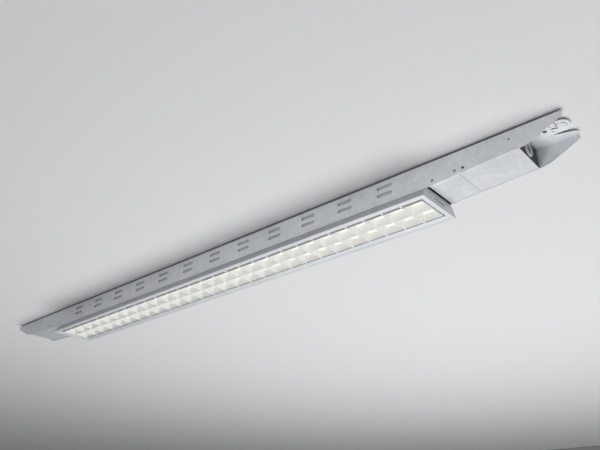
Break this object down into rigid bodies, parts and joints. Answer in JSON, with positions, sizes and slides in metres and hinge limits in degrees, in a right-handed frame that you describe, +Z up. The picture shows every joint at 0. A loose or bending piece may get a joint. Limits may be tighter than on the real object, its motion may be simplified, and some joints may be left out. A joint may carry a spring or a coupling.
{
  "type": "high bay light",
  "caption": "Long ceiling trunking of folded sheet with vented walls, slanted open ends and a bezelled LED lamp with a white cell louvre underneath.",
  "frame": {"origin": "centre of the trunking channel's top face, which lies against the ceiling", "axes": "+X along the trunking, +Z up into the ceiling, the light shines along -Z"},
  "size_m": [2, 0.137, 0.0845],
  "materials": {
    "galvanised_steel": "galvanised sheet with a faint spangle",
    "bezel_steel": "smooth galvanised sheet",
    "louvre_plastic": "white, satin",
    "bush_plastic": "light grey, moulded",
    "plate_aluminium": "mill finish",
    "board_laminate": "white solder mask",
    "driver_plastic": "white, moulded",
    "block_plastic": "off-white, moulded",
    "fastener_steel": "bright zinc",
    "spring_steel": "plain spring steel"
  },
  "bodies": {
    "root": {"trunking_channel": "galvanised_steel", "short_cover_right": "galvanised_steel", "short_cover_left": "galvanised_steel", "long_cover_right": "galvanised_steel", "long_cover_left": "galvanised_steel", "cable_bush_right": "bush_plastic", "cable_bush_left": "bush_plastic", "cover_rivets": "fastener_steel", "lamp_housing": "galvanised_steel", "end_plate_right": "galvanised_steel", "end_plate_left": "galvanised_steel", "end_plate_rivets": "fastener_steel", "bezel_frame": "bezel_steel", "bezel_clips": "spring_steel", "louvre": "louvre_plastic", "heat_plate": "plate_aluminium", "gear_tray": "galvanised_steel", "tray_screws": "fastener_steel", "tray_springs": "spring_steel", "led_driver_right": "driver_plastic", "led_driver_left": "driver_plastic", "driver_screws": "fastener_steel", "terminal_block": "block_plastic", "earth_screw": "fastener_steel", "led_board_front_1": "board_laminate", "led_board_front_2": "board_laminate", "led_board_front_3": "board_laminate", "led_board_front_4": "board_laminate", "led_board_front_5": "board_laminate", "led_board_rear_1": "board_laminate", "led_board_rear_2": "board_laminate", "led_board_rear_3": "board_laminate", "led_board_rear_4": "board_laminate", "led_board_rear_5": "board_laminate"}
  },
  "joints": []
}
